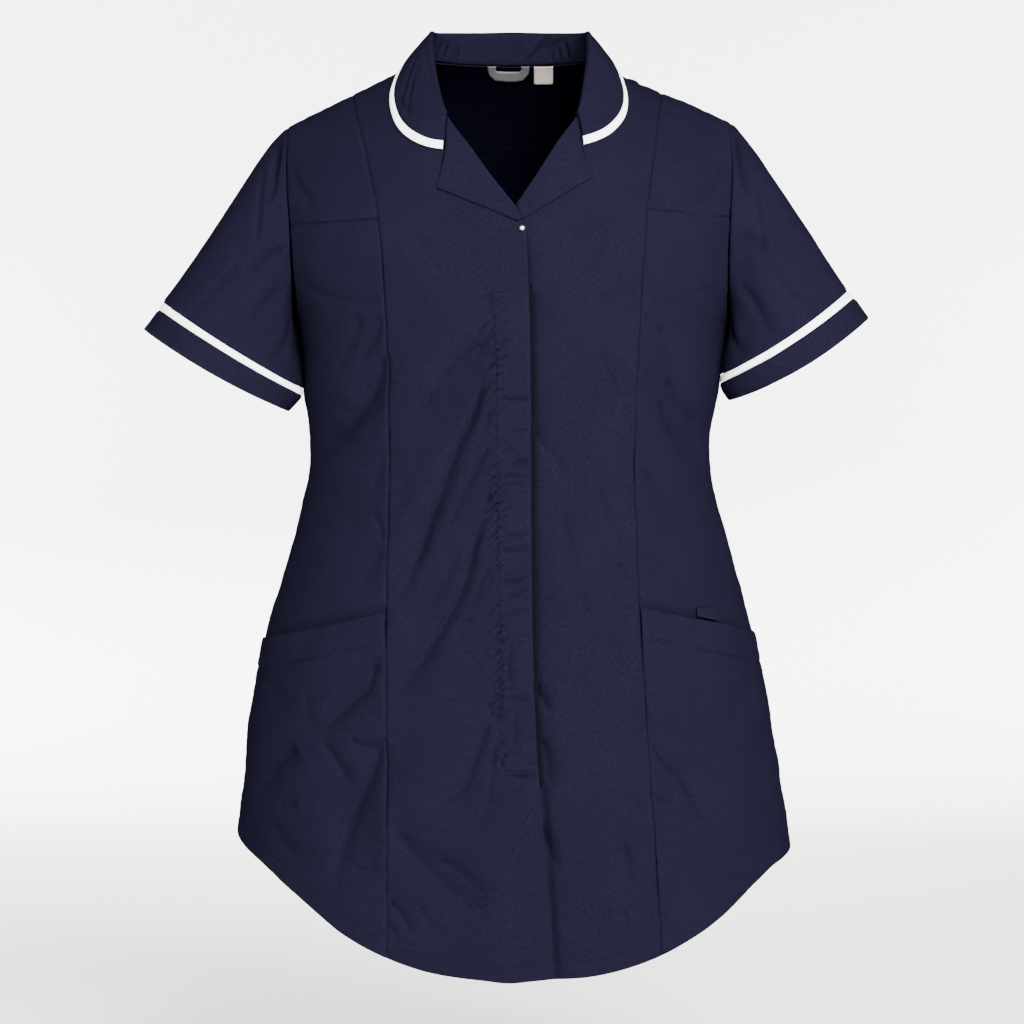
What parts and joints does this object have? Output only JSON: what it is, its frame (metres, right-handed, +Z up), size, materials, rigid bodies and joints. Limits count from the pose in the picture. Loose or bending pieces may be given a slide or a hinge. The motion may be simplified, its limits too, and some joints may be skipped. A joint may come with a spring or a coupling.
{
  "type": "maternity tunic",
  "caption": "Short-sleeved navy work tunic with an A-line maternity front, trimmed round collar and cuffs, hip pockets, concealed front zip and curved hem.",
  "frame": {"origin": "middle of the neck base, level with the tops of the shoulder seams, where the worn tunic hangs from the wearer", "axes": "+Z up the body, +X towards the wearer's left, the front faces -Y"},
  "size_m": [0.6488, 0.3074, 0.8422],
  "materials": {
    "navy": "matte woven poly-cotton",
    "white": "matte woven",
    "tape": "woven zip tape",
    "ribbon": "satin ribbon",
    "label": "woven label",
    "stud": "glossy cap in a dark ring"
  },
  "bodies": {
    "root": {"right_centre_front": "navy", "left_centre_front": "navy", "right_upper_side_front": "navy", "left_upper_side_front": "navy", "right_side_front": "navy", "left_side_front": "navy", "right_pocket_front": "navy", "left_pocket_front": "navy", "left_inner_pocket": "navy", "back_yoke": "navy", "back": "navy", "right_sleeve": "navy", "left_sleeve": "navy", "right_sleeve_trim": "white", "left_sleeve_trim": "white", "right_cuff": "navy", "left_cuff": "navy", "collar": "navy", "collar_trim": "white", "right_lapel": "navy", "left_lapel": "navy", "zip_tape": "tape", "press_stud": "stud", "hanger_loop": "ribbon", "size_label": "label"}
  },
  "joints": []
}
